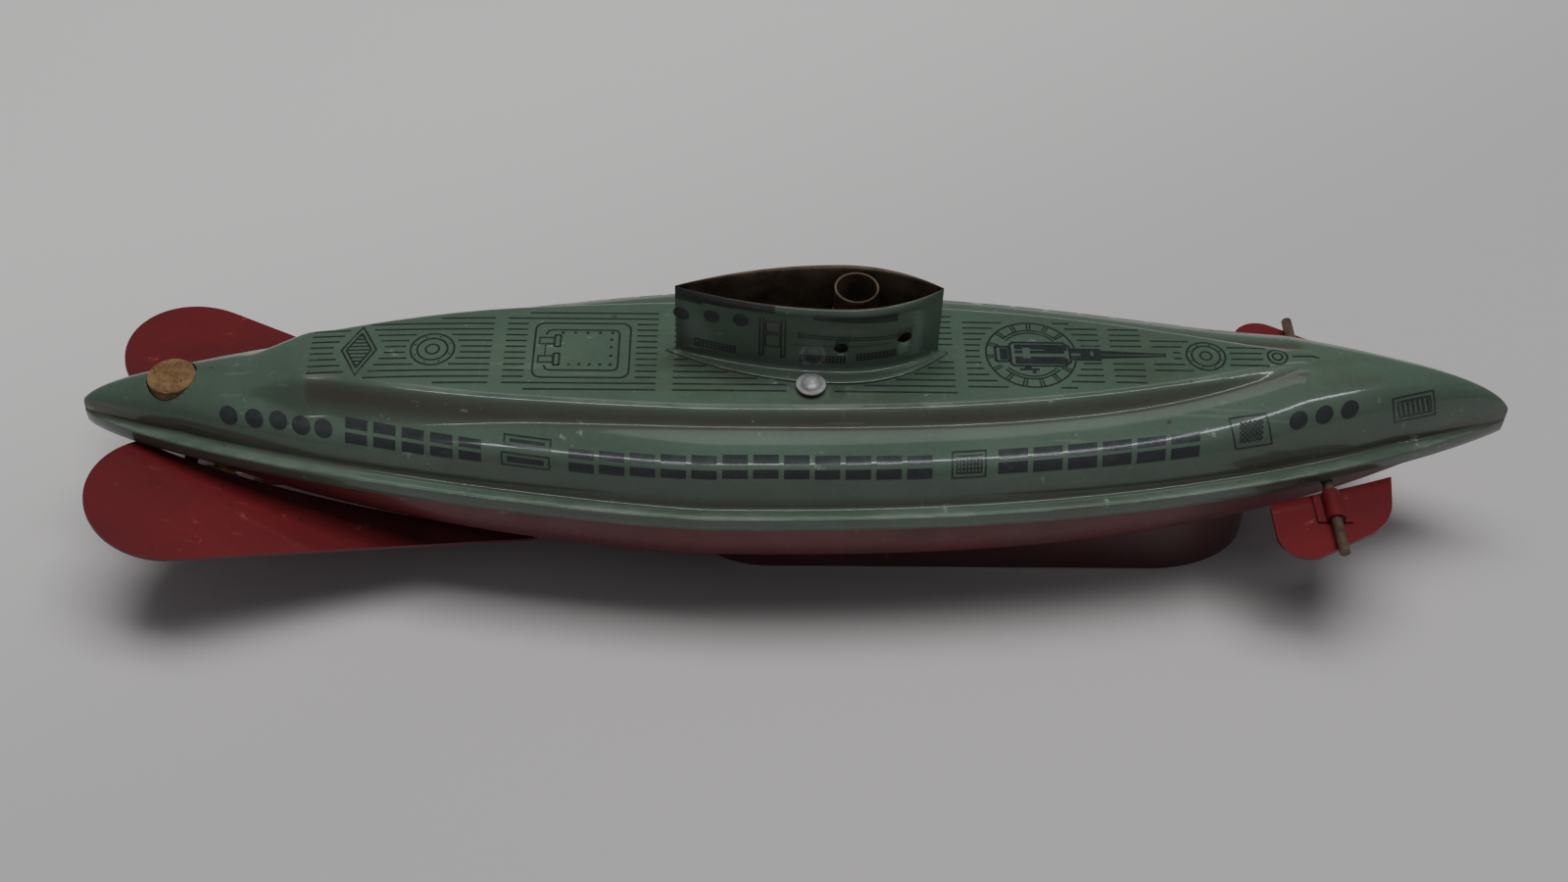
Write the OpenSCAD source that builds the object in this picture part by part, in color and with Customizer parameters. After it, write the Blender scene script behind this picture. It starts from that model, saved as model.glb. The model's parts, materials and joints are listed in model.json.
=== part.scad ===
// Clockwork toy submarine in pressed tin, with its motor, keel, planes and propeller.
// +X points to the bow, +Y to port and +Z up. The origin is under the middle, on the ground.

/* [Hull] */
// Length over all
length = 330; // [329:0.5:332]
// Half of the beam at the rim
rim_half = 33.5; // [33:0.1:34]
// Height of the rim plane above the ground
rim_z = 36.5; // [36.5:0.1:37]
// Depth of the lower hull below the rim
hull_depth = 29.3; // [29:0.1:29.5]
// Height of the deck above the rim
deck_rise = 19.4; // [19.2:0.1:19.6]
// Height of the turned-down lip of the upper hull
lip_h = 3.6; // [3.2:0.1:4]
// Width of the flat flange inside the lip
flange_w = 3.3; // [3:0.1:3.6]
// Thickness of the hull sheet
sheet = 0.8; // [0.7:0.05:0.9]

/* [Tower] */
// Height of the conning tower above the deck
tower_h = 20; // [19.6:0.1:20.6]
// Half width of the tower wall
tower_half = 6.6; // [6.5:0.1:7.2]
// Aft tip of the tower
tower_aft = -28.5; // [-29:0.5:-28]
// Fore tip of the tower
tower_fore = 30.3; // [30:0.1:31]
// Outer radius of the winding tube
tube_r = 4.9; // [4.85:0.05:5]
// Bore radius of the winding tube
tube_bore_r = 4.4; // [4.3:0.05:4.4]

/* [Keel and planes] */
// Half width of the ballast keel
keel_half = 16.6; // [16:0.2:17]
// Radius of the round lobes of the tail plane
lobe_r = 17.8; // [17.6:0.1:18]
// Downward pitch of the tail plane towards the bow, in degrees
tail_pitch = 13.5; // [13.3:0.1:13.5]
// Radius of the bow plane rod
bow_rod_r = 1.25; // [1.2:0.05:1.3]

/* [Motor] */
// Gear module
gear_m = 0.6; // [0.6:0.1:0.6]
// Teeth of the great wheel
great_teeth = 60; // [60:12:60]
// Teeth of the drive pinion
pinion_teeth = 12; // [12:1:12]
// Teeth of the crown wheel
crown_teeth = 30; // [30:10:30]
// Teeth of the shaft pinion
shaft_teeth = 10; // [10:1:10]
// Radius of the propeller
prop_r = 9; // [8:0.5:9.5]

/* [Hidden] */

mint = [0.50, 0.60, 0.54];
red = [0.55, 0.16, 0.19];
dark_red = [0.32, 0.10, 0.11];
steel = [0.55, 0.55, 0.56];
brass = [0.72, 0.58, 0.32];
brown_tin = [0.30, 0.25, 0.21];

$fn = 64;
fit = 0.05;                         // radial running clearance of every shaft
half_len = length / 2;
deck_z = rim_z + deck_rise;
tower_top = deck_z + tower_h;

// ---------- Lines of the hull ----------
// Each profile runs from 1 at its fullest place to almost 0 at the tips.
tip_pad = 0.8;                      // keeps the tips about 2 mm wide
beam_x = -20;                       // fullest place of the plan
function run(x, full_x) =
    abs(x - full_x) / (half_len + tip_pad + (x < full_x ? full_x : -full_x));
function smooth(t) = let(s = min(1, max(0, t))) s * s * (3 - 2 * s);

function rim_at(x) = let(t = run(x, beam_x))
    x < beam_x ? rim_half * pow(1 - pow(t, 1.3), 0.66) : rim_half * pow(1 - pow(t, 2.35), 0.9);
function depth_at(x) = let(t = run(x, -5))
    hull_depth * (1 - pow(t, x < -5 ? 2.6 : 3.1));

stern_end = -110;                   // the stern's round top ends here
bow_start = 112;                    // the bow's round top starts here
function crown_rise(x) =
    x < stern_end ? 12 * sqrt(1 - pow((stern_end - x) / (half_len + tip_pad + stern_end), 2.2)) :
    x < 40 ? 12 + 3.3 * smooth((x - stern_end) / 50) :
    x < bow_start ? 15.3 + 3.3 * pow((x - 40) / (bow_start - 40), 4) :
    18.6 * sqrt(1 - pow((x - bow_start) / (half_len + tip_pad - bow_start), 1.9));

flange_rise = 0.5;
function flange_at(x) = rim_at(x) - flange_w * min(1, rim_at(x) / 12);
function boxiness(x) = 2.15 + 2.05 * pow(rim_at(x) / rim_half, 4);
function body_at(x, w) = let(n = boxiness(x))
    flange_rise + (crown_rise(x) - flange_rise) * pow(max(0, 1 - pow(w / flange_at(x), n)), 1 / n);

// The raised casing has a nearly flat top and steep sides. Aft of the tower it slopes down
// and tapers, and towards the bow it tapers and fades into the body.
slope_x = -65;                      // the aft deck begins to droop here
ramp_x = -112.5;                    // and falls to the stern in a ramp from here
taper_x = -60;                      // and the aft taper here
fade_x = 116;
casing_fore = 122;
casing_side = 1.85;                 // fall of its sides per millimetre of width
function casing_half(x) = rim_at(x) * max(x < beam_x ? 0.355 : 0.12, 0.5 * (x < beam_x ?
    1 - pow(max(0, taper_x - x) / 81, 2.2) :
    1 - pow(max(0, (x - beam_x) / (casing_fore - beam_x)), 3.3)));
function casing_rise(x, w) = let(c = casing_half(x))
    deck_rise - 0.3 * pow(min(1, w / c), 2) - casing_side * max(0, w - c)
    - 1.3 * pow(max(0, slope_x - x) / 47, 2) - 0.42 * max(0, ramp_x - x) - 0.8 * max(0, x - fade_x);
function top_at(x, w) = max(body_at(x, w), casing_rise(x, w));

// Half section of the upper hull, from the lip to the centreline, as [half width, rise].
// "inset" moves the whole section inwards for the inside of the sheet.
function upper_half_section(x, inset) =
    let(b = rim_at(x) - inset, f = flange_at(x) - inset, c = casing_half(x), step_w = 2.4,
        foot = min(c + step_w, f * 0.9))
    concat(
        [[b, -lip_h], [b, -0.5 - inset], [max(f + 0.1, b - 0.5), -inset]],
        [for (k = [0:7]) let(w = foot + (f - foot) * cos(90 * k / 8 ))
            [w, max(flange_rise - inset, top_at(x, w + inset) - inset)]],
        [for (w = [foot, (foot + min(c, f * 0.8)) / 2, min(c, f * 0.8), min(c, f * 0.8) * 0.5])
            [w, top_at(x, w) - inset]],
        [[0, top_at(x, 0) - inset]]);

// Half section of the lower hull, from its top edge to the keel line.
rim_gap = 1.0;                      // room for the lip around the lower hull
hull_box = 2.45;                    // fullness of the lower hull's round section
function lower_half_section(x, inset) =
    let(b = rim_at(x) - min(rim_gap, 0.4 * rim_at(x)) - inset, d = max(2.4, depth_at(x)) - inset,
        top = sheet + 0.1)
    [for (k = [0:12]) let(a = 90 * k / 12)
        [b * pow(cos(a), 2 / hull_box), -top - (d - top) * pow(sin(a), 2 / hull_box)]];

function mirrored(section) = concat(
    section, [for (k = [len(section) - 2:-1:0]) [-section[k][0], section[k][1]]]);

// A closed thin shell through a row of outer sections and a row of inner sections.
module sheet_shell(outer, inner) {
    rows = len(outer);
    n = len(outer[0]);
    size = rows * n;
    function skin(base, flip) = [for (i = [0:rows - 2]) for (j = [0:n - 2])
        let(a = base + i * n + j, b = a + 1, c = a + n + 1, d = a + n)
        for (tri = flip ? [[a, c, b], [a, d, c]] : [[a, b, c], [a, c, d]]) tri];
    function edge(j, flip) = [for (i = [0:rows - 2])
        let(a = i * n + j, b = a + n, c = size + b, d = size + a)
        for (tri = flip ? [[a, c, b], [a, d, c]] : [[a, b, c], [a, c, d]]) tri];
    function strip(i, flip) = [for (j = [0:n / 2 - 1])
        let(a = i * n + j, b = a + 1, c = i * n + n - 2 - j, d = c + 1)
        for (tri = flip ? [[a, c, b], [a, d, c]] : [[a, b, c], [a, c, d]])
            if (tri[0] != tri[1] && tri[1] != tri[2] && tri[0] != tri[2]) tri];
    function cap(base, i, flip) = [for (tri = strip(i, flip)) [for (v = tri) v + base]];
    function foot(i, flip) = let(a = i * n, b = i * n + n - 1, c = size + b, d = size + a)
        flip ? [[a, c, b], [a, d, c]] : [[a, b, c], [a, c, d]];
    polyhedron(
        points = concat([for (row = outer) for (p = row) p], [for (row = inner) for (p = row) p]),
        faces = concat(skin(0, true), skin(size, false), edge(0, true), edge(n - 1, false),
            cap(0, 0, false), cap(0, rows - 1, true), cap(size, 0, true), cap(size, rows - 1, false),
            foot(0, false), foot(rows - 1, true)),
        convexity = 6);
}

stations = 56;
function station(i) = -half_len * cos(180 * i / stations);
inner_scale = (half_len - sheet) / half_len;
function thin(x) = sheet * min(1, rim_at(x) / 3);
function placed(section, x, side) = [for (p = section) [x, side * p[0], p[1] + rim_z]];

// ---------- Hull ----------
tube_x = 11.2;
cork_x = -143.5;
cork_r = 5.6;
shaft_z = 14;
bow_rod_x = 121.3;
bow_rod_z = rim_z - 5.2;

module upper_hull() {
    color(mint) difference() {
        sheet_shell(
            [for (i = [0:stations]) let(x = station(i)) placed(mirrored(upper_half_section(x, 0)), x, 1)],
            [for (i = [0:stations]) let(x = station(i))
                placed(mirrored(upper_half_section(x, thin(x))), x * inner_scale, 1)]);
        translate([tube_x, 0, deck_z - 5]) cylinder(r = tube_bore_r, h = 10);
        translate([cork_x, 0, rim_z + 2]) cylinder(r = cork_r + 0.1, h = 20);
    }
}

module lower_hull() {
    color(red) difference() {
        sheet_shell(
            [for (i = [0:stations]) let(x = station(i))
                placed(mirrored(lower_half_section(x, 0)), x * lower_scale, -1)],
            [for (i = [0:stations]) let(x = station(i))
                placed(mirrored(lower_half_section(x, thin(x))),
                    x * lower_scale * inner_scale, -1)]);
        translate([bow_rod_x, 0, bow_rod_z]) rotate([90, 0, 0])
            cylinder(r = bow_rod_r + 0.15, h = 60, center = true);
        along_x(-115, stern_tube_fore + 2, stern_tube_r + 0.1);
    }
}
lower_scale = (half_len - 1) / half_len;

module cork_plug() {
    color([0.60, 0.44, 0.30]) translate([cork_x, 0, rim_z + 4])
        cylinder(r = cork_r, h = 6);
}

// ---------- Conning tower ----------
// A lens outline with pointed ends, fullest at the winding tube.
tower_full_x = 8.5;
module lens(half_w, aft, fore) {
    aft_len = tower_full_x - aft;
    fore_len = fore - tower_full_x;
    aft_r = (aft_len * aft_len + half_w * half_w) / (2 * half_w);
    fore_r = (fore_len * fore_len + half_w * half_w) / (2 * half_w);
    for (end = [[aft_r, -aft_len - 5, aft_len + 5], [fore_r, 0, fore_len + 5]])
        intersection() {
            translate([tower_full_x, half_w - end[0]]) circle(r = end[0], $fn = 180);
            translate([tower_full_x, end[0] - half_w]) circle(r = end[0], $fn = 180);
            translate([tower_full_x + end[1], -half_w - 1]) square([end[2], 2 * half_w + 2]);
        }
}

tower_wall = 0.6;
coaming_h = 2.2;
coaming_out = 1.0;
tower_flange = 3.4;
rivet_x = 1.6;
rivet_y = 11;
flood_holes = [[8.1, 7.6], [22.2, 8.7]];    // [x, height above the deck]

module tower_half_shell(side) {
    intersection() {
        difference() {
            union() {
                translate([0, 0, deck_z + 0.05]) tower_slab(0, 0, tower_h - 0.05);
                translate([0, 0, tower_top - coaming_h]) tower_slab(coaming_out, 0, coaming_h);
                translate([0, 0, deck_z + 0.05]) tower_slab(tower_flange, 2.4, tower_wall);
                for (y = [-1, 1]) translate([rivet_x, y * rivet_y, deck_z + 0.05])
                    cylinder(r = 3.6, h = tower_wall);
            }
            translate([0, 0, deck_z - 1]) linear_extrude(height = tower_h + 2)
                lens(tower_half - tower_wall, tower_aft + 2.6, tower_fore - 1.6);
            for (hole = flood_holes) translate([hole[0], 0, deck_z + hole[1]])
                rotate([90, 0, 0]) cylinder(r = 1.6, h = 60, center = true);
            for (y = [-1, 1]) translate([rivet_x, y * rivet_y, deck_z - 1]) cylinder(r = 1.1, h = 3);
            translate([tower_aft, 0, deck_z + 7.5]) rotate([90, 0, 0])
                cylinder(r = 2, h = 10, center = true);
        }
        translate([-60, side > 0 ? 0.04 : -40.04, deck_z - 5]) cube([120, 40, 60]);
    }
}
module tower_slab(grow, tip, h) {
    linear_extrude(height = h) lens(tower_half + grow, tower_aft - tip, tower_fore + tip);
}
module tower_port() { color(mint) tower_half_shell(1); }
module tower_starboard() { color(mint) tower_half_shell(-1); }

module tower_rivets() {
    color(steel) for (y = [-1, 1]) translate([rivet_x, y * rivet_y, deck_z + tower_wall + 0.06]) {
        cylinder(r = 3.3, h = 0.4);
        intersection() {
            translate([0, 0, -0.6]) sphere(r = 2.6);
            translate([0, 0, 0.4]) cylinder(r = 2.6, h = 4);
        }
    }
}

module winding_tube() {
    color(brown_tin) translate([tube_x, 0, deck_z + 0.05]) difference() {
        cylinder(r = tube_r, h = tower_h - 0.05);
        translate([0, 0, -1]) cylinder(r = tube_bore_r, h = tower_h + 2);
    }
}

// ---------- Ballast keel ----------
keel_aft = -28;
keel_fore = 109.5;
keel_aft_round = 21;
keel_fore_round = 25;
module keel_end(x, round_len, inset) {
    translate([x, 0]) scale([(round_len - inset) / 20, (keel_half - inset) / 20])
        circle(r = 20, $fn = 96);
}
module keel_outline(inset) {
    hull() {
        keel_end(keel_aft + keel_aft_round, keel_aft_round, inset);
        keel_end(keel_fore - keel_fore_round, keel_fore_round, inset);
    }
}
// Solid that follows the outside of the lower hull, used to trim the keel against it.
module hull_core(grow) {
    rows = 24;
    sides = 25;
    function ring(x) = mirrored(
        [for (k = [0:12]) let(a = 90 * k / 12)
            [(rim_at(x) - rim_gap + grow) * pow(cos(a), 2 / hull_box),
            -(depth_at(x) + grow) * pow(sin(a), 2 / hull_box)]]);
    xs = [for (i = [0:rows]) -45 + 165 * i / rows];
    points = [for (x = xs) for (p = ring(x / lower_scale)) [x, p[0], p[1] + rim_z]];
    polyhedron(
        points = points,
        faces = concat(
            [for (i = [0:rows - 1]) for (j = [0:sides - 1])
                let(a = i * sides + j, b = i * sides + (j + 1) % sides)
                for (tri = [[a, b, b + sides], [a, b + sides, a + sides]]) tri],
            [for (j = [1:sides - 2]) [0, j + 1, j]],
            [for (j = [1:sides - 2]) [0, j, j + 1] + rows * sides * [1, 1, 1]]));
}
module ballast_keel() {
    color(dark_red) difference() {
        linear_extrude(height = 24) keel_outline(0);
        translate([0, 0, sheet]) linear_extrude(height = 30) keel_outline(sheet);
        hull_core(0.15);
        for (x = keel_screw_x) translate([x, 0, -1]) cylinder(r = 1.6, h = 4);
    }
}
keel_screw_x = [10, 66];
weight_top = 6;
module ballast_weight() {
    color([0.36, 0.37, 0.39]) difference() {
        translate([-12, -8, sheet + 0.05]) cube([92, 16, weight_top - sheet]);
        for (x = keel_screw_x) translate([x, 0, -1]) cylinder(r = 1.6, h = 9);
    }
}
module keel_screws() {
    color(steel) for (x = keel_screw_x) translate([x, 0, 0.1]) {
        cylinder(r = 1.5, h = weight_top + 0.4);
        translate([0, 0, weight_top - sheet + 0.95]) cylinder(r = 2.6, h = 0.5);
    }
}

// ---------- Tail plane ----------
tail_drop = 1.8;                    // of its aft edge below the rim
tail_sheet = 0.8;
lobe_u = 21.8;                      // distances along the plane from the stern
lobe_w = 22;
opening_u = 86;                     // the opening is widest here
opening_aft = 82;
opening_fore = 28;
opening_w = 16.4;
tail_nose_u = 113;
module tail_outline() {
    for (side = [-1, 1]) hull() {
        translate([lobe_u, side * lobe_w]) circle(r = lobe_r, $fn = 72);
        translate([tail_nose_u - 12, side * 9]) circle(r = 9, $fn = 48);
        translate([tail_nose_u, side * 4]) circle(r = 5, $fn = 32);
    }
    translate([tail_nose_u - 11, -8]) square([15, 16]);
}
function opening_half(u) = opening_w *
    pow(max(0, 1 - pow((opening_u - u) / (u < opening_u ? opening_aft : opening_fore), 2)), 0.6);
module tail_opening() {
    us = concat([for (k = [0:20]) opening_u - opening_aft * cos(90 * k / 20)],
        [for (k = [1:10]) opening_u + opening_fore * sin(90 * k / 10)]);
    polygon(concat([for (u = us) [u, -opening_half(u)]],
        [for (k = [len(us) - 2:-1:1]) [us[k], opening_half(us[k])]]));
}
module tail_frame() {
    translate([-half_len, 0, rim_z - tail_drop]) rotate([0, tail_pitch, 0]) children();
}
module tail_plane() {
    color(red) tail_frame() translate([0, 0, -tail_sheet]) linear_extrude(height = tail_sheet)
        difference() {
            tail_outline();
            tail_opening();
            translate([-2, -6]) square([14, 12]);
        }
}
module tail_plane_rivets() {
    color(red) for (y = [-4, 4]) tail_frame() translate([tail_nose_u + 3, y, -tail_sheet - 0.6])
        cylinder(r = 1.4, h = 0.55);
}
// Two small blocks that join the plane's inner edge to the stern.
module tail_plane_brackets() {
    color(red) for (y = [-11, 7.85]) tail_frame() translate([23.5, y, -tail_sheet - 1.05])
        cube([3, 3.15, 1]);
}

// ---------- Propeller shaft, propeller and rudder ----------
shaft_r = 1.0;
stern_tube_r = 2.6;
stern_tube_aft = -130;
stern_tube_fore = -70;
prop_x = -137;
second_x = tube_x - gear_m * (great_teeth + pinion_teeth) / 2;
crown_r = gear_m * crown_teeth / 2;
shaft_pinion_r = gear_m * shaft_teeth / 2;
module along_x(x0, x1, r) {
    translate([x0, 0, shaft_z]) rotate([0, 90, 0]) cylinder(r = r, h = x1 - x0);
}
module stern_tube() {
    color(brass) difference() {
        along_x(stern_tube_aft, stern_tube_fore, stern_tube_r);
        along_x(stern_tube_aft - 1, stern_tube_fore + 1, shaft_r + fit);
    }
}
module shaft_bracket() {
    color(red) difference() {
        union() {
            along_x(-128, -122, stern_tube_r + 0.8);
            translate([0, 0.6, shaft_z]) rotate([90, 0, 0]) linear_extrude(height = 1.2)
                polygon([[-128, 0], [-122, 0], [-122, 5.8], [-128, 7.5]]);
        }
        along_x(-129, -121, stern_tube_r + 0.02);
    }
}
module shaft_bearing() {
    color(steel) difference() {
        translate([-27, -4, 10.5]) cube([3, 8, 9.45]);
        along_x(-28, -20, shaft_r + fit);
    }
}
module propeller_shaft() {
    color(steel) along_x(-142.5, -13.5, shaft_r);
}
module propeller() {
    color(brass) difference() {
        union() {
            along_x(prop_x - 2.5, prop_x + 2.5, 2.2);
            for (k = [0:2]) translate([prop_x, 0, shaft_z]) rotate([120 * k, 0, 0])
                translate([0, 0, 1.6]) rotate([0, 0, 32]) blade();
        }
        along_x(prop_x - 4, prop_x + 4, shaft_r + 0.01);
    }
}
module blade() {
    rotate([90, 0, 90]) translate([0, 0, -0.3]) linear_extrude(height = 0.6)
        intersection() {
            translate([0, (prop_r - 1.6) / 2 - 0.4]) scale([0.72, 1])
                circle(r = (prop_r - 1.6) / 2 + 0.4);
            translate([-10, 0]) square([20, prop_r - 1.6]);
        }
}
module propeller_nut() {
    color(brass) difference() {
        translate([-142, 0, shaft_z]) rotate([0, 90, 0]) cylinder(r = 1.9, h = 2.4, $fn = 6);
        along_x(-143, -139, shaft_r + 0.01);
    }
}

rudder_x = -153;
bush_low = 22;
bush_top = 29.6;
module rudder_bush() {
    color(brass) translate([rudder_x, 0, bush_low]) difference() {
        cylinder(r = 2.2, h = bush_top - bush_low);
        translate([0, 0, -1]) cylinder(r = 0.9 + fit, h = bush_top - bush_low);
    }
}
module rudder_stock() {
    color(steel) translate([rudder_x, 0, 7]) cylinder(r = 0.9, h = bush_top - 8.1);
}
module rudder_blade() {
    color(red) translate([rudder_x, 0, 0]) {
        rotate([90, 0, 0]) translate([0, 0, -0.4]) linear_extrude(height = 0.8) hull() {
            translate([-7, 11.5]) circle(r = 3.5, $fn = 48);
            translate([-7.5, 17.5]) circle(r = 3, $fn = 48);
            translate([-1.7, 8.4]) square([0.2, 12]);
        }
        translate([0, 0, 8.4]) difference() {
            cylinder(r = 1.6, h = 12);
            translate([0, 0, -1]) cylinder(r = 0.91, h = 14);
        }
    }
}

// ---------- Bow planes ----------
bow_rod_half = 37.1;
plane_gap = 0.9;                    // between the planes and the hull
plane_sheet = 0.8;
plane_top = bow_rod_z - bow_rod_r;
module bow_plane_outline() {
    difference() {
        hull() {
            translate([114, 31]) circle(r = 6.7, $fn = 72);
            translate([108.5, 23]) circle(r = 1.2, $fn = 24);
            translate([122.3, 18.5]) circle(r = 13.6, $fn = 96);
            translate([136.4, 12.6]) circle(r = 0.8, $fn = 24);
        }
        polygon(concat([for (k = [0:10]) let(x = 104 + 36 * k / 10) [x, rim_at(x) + plane_gap]],
            [[140, 0], [104, 0]]));
    }
}
module bow_plane(side) {
    color(red) translate([0, 0, plane_top - plane_sheet])
        linear_extrude(height = plane_sheet) mirror([0, side > 0 ? 0 : 1]) bow_plane_outline();
}
module bow_plane_port() { bow_plane(1); }
module bow_plane_starboard() { bow_plane(-1); }
module bow_rod() {
    color(brown_tin) translate([bow_rod_x, 0, bow_rod_z]) rotate([90, 0, 0])
        cylinder(r = bow_rod_r, h = 2 * bow_rod_half, center = true);
}
strap_y = 23.5;
module bow_straps() {
    color(red) for (side = [-1, 1]) translate([bow_rod_x, side * strap_y, bow_rod_z])
        rotate([90, 0, 0]) difference() {
            union() {
                cylinder(r = bow_rod_r + 0.8, h = 8, center = true);
                translate([-4, -bow_rod_r + 0.02, -4]) cube([8, 0.6, 8]);
            }
            cylinder(r = bow_rod_r + 0.01, h = 10, center = true);
            translate([-10, -10 - bow_rod_r + 0.02, -5]) cube([20, 10, 10]);
        }
}
module bow_bushes() {
    color(brown_tin) for (side = [-1, 1]) translate([bow_rod_x, side * (rim_at(bow_rod_x) - 4.8), bow_rod_z])
        rotate([90, 0, 0]) difference() {
            cylinder(r = 2.6, h = 2.2, center = true);
            cylinder(r = bow_rod_r + fit, h = 5, center = true);
        }
}

// ---------- Clockwork motor ----------
plate_low = 20;
plate_high = 40;
plate_t = 1.2;
arbor_r = 2.0;
arbor_top = deck_z - 2.5;           // the square stops short of the tube, clear of a key's end
pillar_xy = [[-28, 13], [-28, -13], [34, 13], [34, -13]];
module motor_plate(z, hole_r) {
    translate([0, 0, z]) difference() {
        translate([-32, -17, 0]) cube([70, 34, plate_t]);
        translate([tube_x, 0, -1]) cylinder(r = arbor_r + fit, h = 4);
        translate([second_x, 0, -1]) cylinder(r = shaft_r + fit, h = 4);
        for (p = pillar_xy) translate([p[0], p[1], -1]) cylinder(r = hole_r, h = 4);
    }
}
module motor_plate_lower() { color(steel) motor_plate(plate_low, 1.05); }
module motor_plate_upper() { color(steel) motor_plate(plate_high, 1.05); }
module motor_pillars() {
    color(steel) for (p = pillar_xy) translate([p[0], p[1], 0]) {
        translate([0, 0, plate_low + plate_t + 0.02])
            cylinder(r = 1.8, h = plate_high - plate_low - plate_t - 0.04);
        translate([0, 0, plate_low - 1.4]) cylinder(r = 1, h = plate_high - plate_low + 4.6);
    }
}
module pillar_nuts() {
    color(brass) for (p = pillar_xy) translate([p[0], p[1], 0])
        for (z = [plate_low - 1.3, plate_high + plate_t + 0.02]) translate([0, 0, z]) difference() {
            cylinder(r = 2.2, h = 1.28, $fn = 6);
            translate([0, 0, -1]) cylinder(r = 1.02, h = 4);
        }
}
foot_low = 8.7;                     // just above the hull's floor
module motor_feet() {
    color(steel) for (x = [-31, 26]) for (y = [-8, 4])
        translate([x, y, foot_low]) cube([3, 4, plate_low - 0.05 - foot_low]);
}

spring_in = 3.2;
spring_pitch = 1.5;
spring_turns = 7.5;
module mainspring() {
    steps = 150;
    function on_spiral(k, off) = let(a = 360 * spring_turns * k / steps,
        r = spring_in + spring_pitch * a / 360 + off) [r * cos(a), r * sin(a)];
    color([0.30, 0.33, 0.38]) translate([tube_x, 0, 22.2]) linear_extrude(height = 9)
        polygon(concat([for (k = [0:steps]) on_spiral(k, 0)],
            [for (k = [steps:-1:0]) on_spiral(k, 0.5)]));
}
module winding_arbor() {
    color(steel) translate([tube_x, 0, 0]) {
        translate([0, 0, plate_low - 0.8]) cylinder(r = arbor_r, h = plate_high - plate_low + 5);
        translate([-1.4, -1.4, plate_high + 4]) cube([2.8, 2.8, arbor_top - plate_high - 4]);
        translate([0, 0, 22.3]) cylinder(r = 2.7, h = 8.8);
    }
}

// A gear blank with straight-sided teeth, thin enough to run with backlash.
module spur(teeth, h, bore) {
    pitch_r = gear_m * teeth / 2;
    root_r = pitch_r - 0.68;
    linear_extrude(height = h) difference() {
        union() {
            circle(r = root_r, $fn = 120);
            for (k = [0:teeth - 1]) rotate(360 * k / teeth)
                polygon([[root_r - 0.3, -0.46], [pitch_r, -0.34], [pitch_r + 0.5, -0.17],
                    [pitch_r + 0.5, 0.17], [pitch_r, 0.34], [root_r - 0.3, 0.46]]);
        }
        circle(r = bore);
    }
}
wheel_z = 32.2;
module great_wheel() {
    color(brass) translate([tube_x, 0, wheel_z]) difference() {
        spur(great_teeth, 1.4, arbor_r + fit);
        for (k = [0:3]) rotate([0, 0, 45 + 90 * k]) translate([8.5, 0, -1])
            cylinder(r = 3, h = 4);
    }
}
ratchet_z = wheel_z + 1.5;
ratchet_r = 5.4;
module ratchet_wheel() {
    color(steel) translate([tube_x, 0, ratchet_z]) linear_extrude(height = 1.4) difference() {
        union() {
            circle(r = 4.4);
            for (k = [0:11]) rotate(30 * k) polygon([[4, -0.6], [ratchet_r, 0.9], [4, 1.2]]);
        }
        circle(r = arbor_r + 0.01);
    }
}
click_at = 11.5 * [cos(20), sin(20)];    // ahead of the tooth, so that the tip lifts outward
module click() {
    color(steel) translate([tube_x, 0, ratchet_z]) difference() {
        linear_extrude(height = 1.2) hull() {
            translate(click_at) circle(r = 1.9, $fn = 48);
            rotate(-10) translate([5.1, 0]) circle(r = 0.4, $fn = 24);
        }
        translate([click_at[0], click_at[1], -1]) cylinder(r = 0.8 + fit, h = 4);
    }
}
module click_rivet() {
    color(brass) translate([tube_x + click_at[0], click_at[1], wheel_z + 1.42]) {
        cylinder(r = 0.8, h = 1.8);
        translate([0, 0, 1.4]) cylinder(r = 1.3, h = 0.5);
    }
}
module click_spring() {
    color(steel) translate([tube_x, 0, ratchet_z]) linear_extrude(height = 0.9) difference() {
        circle(r = 15.4);
        circle(r = 15.0);
        translate([-20, -20]) square([20, 40]);
        translate([-1, -20]) square([40, 20]);
    }
}
module second_arbor() {
    color(steel) translate([second_x, 0, 16.8]) cylinder(r = shaft_r, h = 24.8);
}
module drive_pinion() {
    color(brass) translate([second_x, 0, wheel_z - 0.6]) rotate([0, 0, 180 / pinion_teeth])
        spur(pinion_teeth, 2.6, shaft_r + 0.01);
}
crown_z = 17.8;
module crown_wheel() {
    color(brass) translate([second_x, 0, crown_z]) difference() {
        union() {
            cylinder(r = crown_r + 0.8, h = 1);
            cylinder(r = 2.4, h = 1.9);
            for (k = [0:crown_teeth - 1]) rotate([0, 0, 360 * k / crown_teeth])
                translate([crown_r - 0.8, -0.25, -1.25]) cube([1.6, 0.5, 1.3]);
        }
        translate([0, 0, -3]) cylinder(r = shaft_r + 0.01, h = 8);
    }
}
module shaft_pinion() {
    color(brass) translate([second_x - crown_r - 1.1, 0, shaft_z]) rotate([0, 90, 0])
        rotate([0, 0, 180 / shaft_teeth]) difference() {
            linear_extrude(height = 2.2) union() {
                circle(r = shaft_pinion_r - 0.7);
                for (k = [0:shaft_teeth - 1]) rotate(360 * k / shaft_teeth)
                    polygon([[1.8, -0.36], [shaft_pinion_r, -0.28], [shaft_pinion_r + 0.5, -0.15],
                        [shaft_pinion_r + 0.5, 0.15], [shaft_pinion_r, 0.28], [1.8, 0.36]]);
            }
            translate([0, 0, -1]) cylinder(r = shaft_r + 0.01, h = 5);
        }
}

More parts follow.
